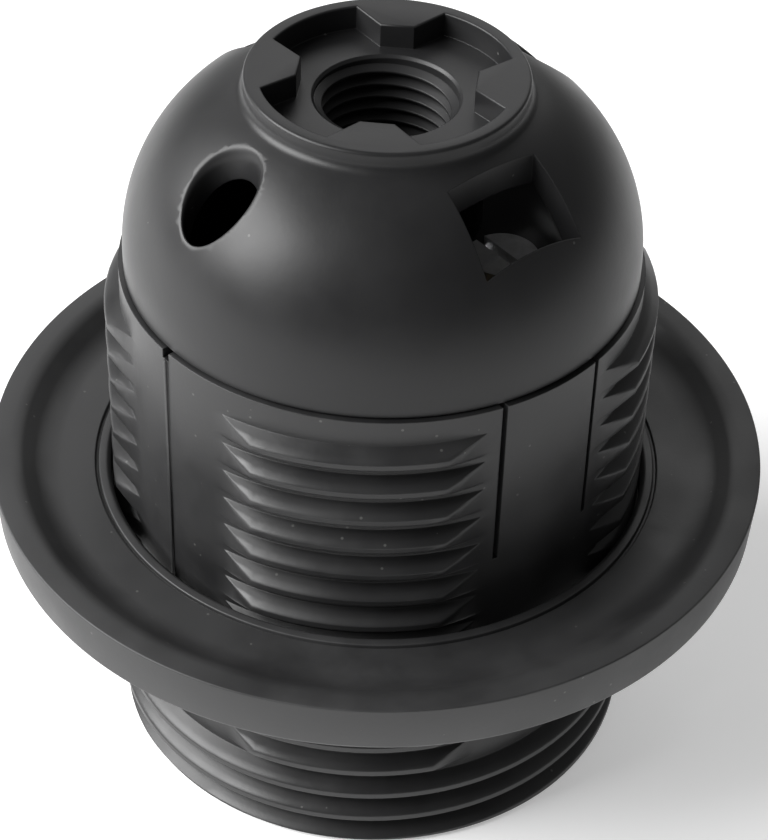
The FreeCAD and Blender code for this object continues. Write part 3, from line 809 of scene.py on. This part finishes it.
@dataclass
class DomeCap:
    """The dome with its spigot, recessed collar, lugs, windows and wire holes."""

    wardrobe: Wardrobe
    radius: float = 18.5
    inside: float = 16.5
    shoulder: float = 42.3           # height at which the dome's arc starts
    seam: float = ThreadedSkirt.seam
    seam_chamfer: float = 0.15
    reach: float = 13.21             # radius of the dome's arc
    spigot_in: float = 15.5
    spigot_out: float = 16.9
    collar: float = 9.85
    collar_blend: float = 0.8
    collar_edge: float = 0.25
    recess: float = 8.8
    recess_depth: float = 1.8
    recess_edge: float = 0.14
    entry: float = 5.0
    entry_chamfer: float = 0.2
    entry_length: float = 9.7
    boss: float = 7.0
    ceiling: float = 1.8
    lug_tip: float = 6.2
    lug_base_angle: float = 22.0
    lug_tip_angle: float = 11.0
    lug_bow: Point = (0.2, 0.25)     # how far the root bows out, beside and in its middle
    lug_sunk: float = 0.3            # how far the lug reaches below the recess's floor
    window_near: float = 11.0
    window_far: float = 15.75
    window_near_half: float = 3.7
    window_far_half: float = 4.1
    hole_place: float = 13.95
    hole_radius: float = 2.5
    hole_flare: float = 0.42
    flare_turn: float = 80.0         # degrees of arc in the flare
    flare_stretch: float = 2.2       # how much deeper than wide the flare is
    mouth_share: float = 1.35        # the cutter's widest ring, in flares past the hole
    mouth_lift: float = 0.35         # and how far it stands off the dome
    hole_steps: int = 64
    hole_sharp_degrees: float = 38.0
    cutter_share: float = 1.2        # how far the cutters rise, in reaches
    weld: float = 0.01
    steps: int = 192

    @property
    def clear(self) -> float:
        """Height well above the dome, where the cutters end."""
        return self.shoulder + self.reach * self.cutter_share

    def arc(self, reach: float, low: float, high: float, count: int) -> list[Point]:
        """Points of a dome's arc between two angles above the shoulder, in degrees."""
        middle = self.radius - self.reach
        angles = [math.radians(low + (high - low) * n / count) for n in range(count + 1)]
        return [(middle + reach * math.cos(a), self.shoulder + reach * math.sin(a))
                for a in angles]

    def section(self, top: float) -> list[Point]:
        """Section of the cap from the bottom of the spigot round to the inside of the dome."""
        outer_steps, blend_steps, edge_steps, inner_steps = 40, 8, 4, 24
        middle = self.radius - self.reach
        blend = self.collar_blend
        ball = self.collar + blend               # the blend's centre stands at this radius
        lean = math.acos((ball - middle) / (self.reach + blend))
        foot = self.shoulder + (self.reach + blend) * math.sin(lean)
        inner = self.reach - (self.radius - self.inside)
        floor = top - self.recess_depth
        ceiling = floor - self.ceiling
        low = floor - self.entry_length
        edge, soft = self.collar_edge, self.recess_edge
        quarter = [math.pi / 2 * n / edge_steps for n in range(edge_steps + 1)]
        points = [(self.spigot_in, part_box("dome_cap")[0].z / MM)]
        points.append((self.spigot_out, points[0][1]))
        points += [(self.spigot_out, self.seam), (self.radius - self.seam_chamfer, self.seam),
                   (self.radius, self.seam + self.seam_chamfer)]
        points += self.arc(self.reach, 0.0, math.degrees(lean), outer_steps)
        turn = [math.pi + lean - (lean * n / blend_steps) for n in range(1, blend_steps + 1)]
        points += [(ball + blend * math.cos(a), foot + blend * math.sin(a)) for a in turn]
        points += [(self.collar - edge + edge * math.cos(a), top - edge + edge * math.sin(a))
                   for a in quarter]
        points += [(self.recess + soft - soft * math.sin(a), top - soft + soft * math.cos(a))
                   for a in quarter]
        points += [(self.recess, floor), (self.entry + self.entry_chamfer, floor),
                   (self.entry, floor - self.entry_chamfer),
                   (self.entry, low + self.entry_chamfer),
                   (self.entry + self.entry_chamfer, low), (self.boss, low),
                   (self.boss, ceiling)]
        rise = math.asin((ceiling - self.shoulder) / inner)
        points += self.arc(inner, math.degrees(rise), 0.0, inner_steps)
        points += [(self.inside, self.seam + self.inside - self.spigot_in),
                   (self.spigot_in, self.seam)]
        return points

    def lugs(self, top: float) -> Object:
        """The four lugs on the diagonals, with their top edges rounded."""
        bm = bmesh.new()
        root = (self.recess + self.collar) / 2
        base, tip = self.lug_base_angle, self.lug_tip_angle
        beside, most = self.lug_bow
        for quarter in range(4):
            middle = TURN / 8 + TURN / 4 * quarter
            places = [(root, -base), (root + beside, -base / 2), (root + most, 0.0),
                      (root + beside, base / 2), (root, base), (self.lug_tip, tip),
                      (self.lug_tip, -tip)]
            corners = [(r * math.cos(math.radians(middle + a)),
                        r * math.sin(math.radians(middle + a))) for r, a in places]
            prism(bm, corners, top - self.recess_depth - self.lug_sunk, top)
        rim = [edge for edge in bm.edges
               if all(abs(vert.co.z - top) < NEAR for vert in edge.verts)
               and max(math.hypot(vert.co.x, vert.co.y) for vert in edge.verts)
               < root + beside / 2]
        bevel(bm, rim, self.recess_edge, 3, "EDGES")
        return finish_mesh(bm, "lug_blocks")

    def window_cutter(self) -> Object:
        """Upright prisms through both windows, narrower towards the collar."""
        bm = bmesh.new()
        for side in (-1, 1):
            corners = [(-self.window_far_half, side * self.window_far),
                       (self.window_far_half, side * self.window_far),
                       (self.window_near_half, side * self.window_near),
                       (-self.window_near_half, side * self.window_near)]
            prism(bm, corners, self.shoulder, self.clear)
        return finish_mesh(bm, "window_cutter")

    def dome_height(self, x: float, y: float) -> float:
        """Height of the dome's outside over a point."""
        across = max(0.0, math.hypot(x, y) - (self.radius - self.reach))
        return self.shoulder + math.sqrt(max(0.0, self.reach ** 2 - across ** 2))

    def hole_cutter(self) -> Object:
        """Upright round cutters that flare out where they pass the dome's surface."""
        bm = bmesh.new()
        flare, count = self.hole_flare, 4
        turns = [math.radians(self.flare_turn * n / count) for n in range(count + 1)]
        rings = [(self.hole_radius + flare * (1 - math.cos(a)),
                  flare * self.flare_stretch * (math.sin(a) - math.sin(turns[-1])))
                 for a in turns]
        rings.append((self.hole_radius + flare * self.mouth_share, self.mouth_lift))
        for side in (-1, 1):
            centre = side * self.hole_place
            made = bmesh.ops.create_circle(bm, cap_ends=True, radius=self.hole_radius,
                                           segments=self.hole_steps)["verts"]
            bmesh.ops.translate(bm, vec=(centre, 0, self.shoulder), verts=made)
            end = next(face for face in bm.faces if made[0] in face.verts)
            for reach, lift in rings:
                end = raise_end(bm, end)
                for vert in end.verts:
                    dx, dy = vert.co.x - centre, vert.co.y
                    scale = reach / math.hypot(dx, dy)
                    x, y = centre + dx * scale, dy * scale
                    vert.co = (x, y, self.dome_height(x, y) + lift)
            for vert in raise_end(bm, end).verts:
                vert.co.z = self.clear
        return finish_mesh(bm, "hole_cutter")

    def build(self) -> None:
        """Builds the cap and puts it in place of its solid."""
        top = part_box("dome_cap")[1].z / MM
        bm = bmesh.new()
        add_chain(bm, self.section(top), closed=True)
        bmesh.ops.remove_doubles(bm, verts=bm.verts, dist=self.weld)
        spin(bm, self.steps)
        piece = finish_mesh(bm, "dome_body")
        combine(piece, self.lugs(top), "UNION")
        combine(piece, self.window_cutter(), "DIFFERENCE")
        combine(piece, self.hole_cutter(), "DIFFERENCE", self.hole_sharp_degrees)
        self.wardrobe.dress(piece, Slot.CAP, Body.CAP)
        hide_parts("dome_cap")


@dataclass
class EntryThread:
    """The fine thread in the cap's entry."""

    wardrobe: Wardrobe
    bore: float = DomeCap.entry
    depth: float = 0.54
    pitch: float = 1.0
    half_share: float = 0.40         # half the ridge's width over the pitch
    flat: float = 0.07               # half the width of the ridge's tip
    sunk: float = 0.15               # how far the ridge reaches into the wall
    margin: float = 0.55
    steps: int = 72

    def build(self) -> None:
        """Winds the ridge from the end of the boss up to the recess."""
        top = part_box("dome_cap")[1].z / MM - DomeCap.recess_depth
        low = top - DomeCap.entry_length + self.margin
        half, wall = self.pitch * self.half_share, self.bore + self.sunk
        bm = bmesh.new()
        outline = [(wall, low - half), (self.bore, low - half),
                   (self.bore - self.depth, low - self.flat),
                   (self.bore - self.depth, low + self.flat),
                   (self.bore, low + half), (wall, low + half)]
        helix_ridge(bm, outline, self.pitch, (top - self.margin - low) / self.pitch,
                    self.steps)
        piece = finish_mesh(bm, "entry_thread")
        self.wardrobe.dress(piece, Slot.CAP, Body.CAP)


# ------------------------------ shade ring


@dataclass
class ShadeRing:
    """The dished ring with its raised rim, grooved floor and collar."""

    wardrobe: Wardrobe
    bore: float = 20.15
    outer: float = 29.0
    draft: float = 0.25
    thickness: float = 4.0
    length: float = 8.0
    rim: float = 1.9
    cove: float = 2.1
    floor_drop: float = 1.7
    recess: float = 0.5
    collar_wall: float = 1.85
    bevel: float = 0.3
    groove_inset: float = 0.6
    groove_width: float = 0.3
    groove_slope: float = 0.2        # run of each of the groove's walls over its width
    steps: int = 240
    sharp_degrees: float = 24.0

    def outline(self) -> tuple[list[Point], dict[int, float]]:
        """Section of the ring.

        Returns:
            The corners as (radius, height), and how far each numbered corner is rounded.
        """
        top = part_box("shade_ring")[1].z / MM
        bottom, floor = top - self.thickness, top - self.floor_drop
        under, foot = bottom + self.recess, self.outer - self.draft
        rim_in = self.outer - self.rim
        collar = self.bore + self.collar_wall
        groove = self.bore + self.bevel + self.groove_inset
        corners = [(self.bore, top - self.length), (collar, top - self.length),
                   (collar, under), (rim_in - self.recess, under), (rim_in, bottom),
                   (foot, bottom), (self.outer, top), (rim_in, top),
                   (rim_in - self.cove, floor), (groove + self.groove_width, floor),
                   (groove + self.groove_width * (1 - self.groove_slope),
                    floor - self.groove_width),
                   (groove + self.groove_width * self.groove_slope,
                    floor - self.groove_width),
                   (groove, floor), (self.bore + self.bevel, floor),
                   (self.bore, floor - self.bevel)]
        rounding = {1: 0.3, 2: 0.25, 4: 0.15, 5: 0.35, 6: 0.12, 7: 0.6, 8: 1.1, 9: 0.06,
                    12: 0.06, 13: 0.12, 14: 0.12}
        return corners, rounding

    def build(self) -> None:
        """Spins the ring and puts it in place of its solid."""
        bm = bmesh.new()
        corners, rounding = self.outline()
        add_chain(bm, corners, closed=True)
        round_corners(bm, rounding, segments=4)
        spin(bm, self.steps)
        piece = finish_mesh(bm, "ring_body", self.sharp_degrees)
        self.wardrobe.dress(piece, Slot.RING, Body.RING)
        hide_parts("shade_ring")


# ------------------------------ stage


def direction(azimuth: float, elevation: float) -> Vector:
    """Unit vector to an azimuth, from -Y towards +X, and an elevation, in degrees."""
    a, e = math.radians(azimuth), math.radians(elevation)
    return Vector((math.sin(a) * math.cos(e), -math.cos(a) * math.cos(e), math.sin(e)))


@dataclass
class Studio:
    """Pale floor, soft lights and the camera."""

    azimuth: float = -39.5
    elevation: float = 40.42
    distance: float = 0.194
    aim_height: float = 0.024
    pan: float = 0.15
    tilt: float = 0.27
    roll: float = 1.7
    focal_share: float = 3.045       # focal length over the picture's height
    picture_height: float = 36.0     # sensor height in millimetres
    clip: Point = (0.01, 20.0)
    floor_radius: float = 3.0
    floor_grey: float = 0.86
    floor_glow: float = 0.35
    fill: float = 0.16               # strength of the surroundings as a light

    def camera(self) -> None:
        """Stands the camera and makes it the scene's own."""
        aim = Vector((0.0, 0.0, self.aim_height))
        out = direction(self.azimuth, self.elevation)
        forward = -out
        right = forward.cross(Vector((0, 0, 1))).normalized()
        up = right.cross(forward)
        pan, tilt, roll = (math.radians(v) for v in (self.pan, self.tilt, self.roll))
        forward = (forward * math.cos(pan) * math.cos(tilt)
                   + right * math.sin(pan) * math.cos(tilt) + up * math.sin(tilt)).normalized()
        right = forward.cross(up).normalized()
        up = right.cross(forward)
        rolled_right = right * math.cos(roll) + up * math.sin(roll)
        rolled_up = up * math.cos(roll) - right * math.sin(roll)
        data = bpy.data.cameras.new("camera")
        data.sensor_fit = "VERTICAL"
        data.sensor_height = self.picture_height
        data.lens = self.focal_share * self.picture_height
        data.clip_start, data.clip_end = self.clip
        camera = bpy.data.objects.new("camera", data)
        turn = Matrix((rolled_right, rolled_up, -forward)).transposed().to_4x4()
        camera.matrix_world = Matrix.Translation(aim + out * self.distance) @ turn
        bpy.context.scene.collection.objects.link(camera)
        bpy.context.scene.camera = camera

    def lamp(self, name: str, azimuth: float, elevation: float, distance: float,
             size: Point, watts: float) -> None:
        """Adds a soft rectangular lamp that faces the object.

        Args:
            name: name of the lamp.
            azimuth: degrees from -Y towards +X.
            elevation: degrees above the floor.
            distance: metres from the object.
            size: width and height in metres.
            watts: power.
        """
        data = bpy.data.lights.new(name, "AREA")
        data.shape = "RECTANGLE"
        data.size, data.size_y = size
        data.energy = watts
        lamp = bpy.data.objects.new(name, data)
        out = direction(azimuth, elevation)
        lamp.location = Vector((0, 0, self.aim_height)) + out * distance
        lamp.rotation_euler = out.to_track_quat("Z", "Y").to_euler()
        bpy.context.scene.collection.objects.link(lamp)

    def floor(self) -> None:
        """Lays a wide pale floor under the object."""
        bm = bmesh.new()
        bmesh.ops.create_circle(bm, cap_ends=True, radius=self.floor_radius, segments=64)
        mesh = bpy.data.meshes.new("floor")
        bm.to_mesh(mesh)
        bm.free()
        floor = bpy.data.objects.new("floor", mesh)
        floor.location.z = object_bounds()[0].z
        bpy.context.scene.collection.objects.link(floor)
        made, shader = new_material("floor_paper")
        grey = self.floor_grey
        set_inputs(shader, {"Base Color": (grey, grey, grey, 1.0), "Roughness": 0.9,
                            "Specular IOR Level": 0.1, "Emission Color": WHITE,
                            "Emission Strength": self.floor_glow})
        mesh.materials.append(made)
        floor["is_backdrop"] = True

    def world(self) -> None:
        """White surroundings for the camera, dimmer as a light."""
        made = bpy.data.worlds.new("studio")
        made.use_nodes = True
        tree = made.node_tree
        back = tree.nodes["Background"]
        set_inputs(back, {"Color": WHITE})
        path = tree.nodes.new("ShaderNodeLightPath")
        share = math_node(tree, "MULTIPLY", path.outputs["Is Camera Ray"], 1.0 - self.fill)
        tree.links.new(math_node(tree, "ADD", share, self.fill), back.inputs["Strength"])
        bpy.context.scene.world = made

    def build(self) -> None:
        """Sets the whole stage."""
        bpy.context.scene.view_settings.view_transform = "Standard"
        self.camera()
        self.lamp("key_left", azimuth=-122.0, elevation=35.5, distance=0.55,
                  size=(0.50, 0.30), watts=7.0)
        self.lamp("back_wall", azimuth=140.0, elevation=34.0, distance=0.90,
                  size=(1.00, 0.50), watts=2.0)
        self.floor()
        self.world()


def main() -> None:
    """Builds the dressed lampholder and its stage."""
    logging.basicConfig(level=logging.INFO, format="%(name)s: %(message)s")
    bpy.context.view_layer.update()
    wardrobe = Wardrobe()
    wardrobe.dress_solids()
    for assembly in (ThreadedSkirt(wardrobe), LampThread(wardrobe), DomeCap(wardrobe),
                     EntryThread(wardrobe), ShadeRing(wardrobe)):
        assembly.build()
    Studio().build()


if __name__ == "__main__":
    main()
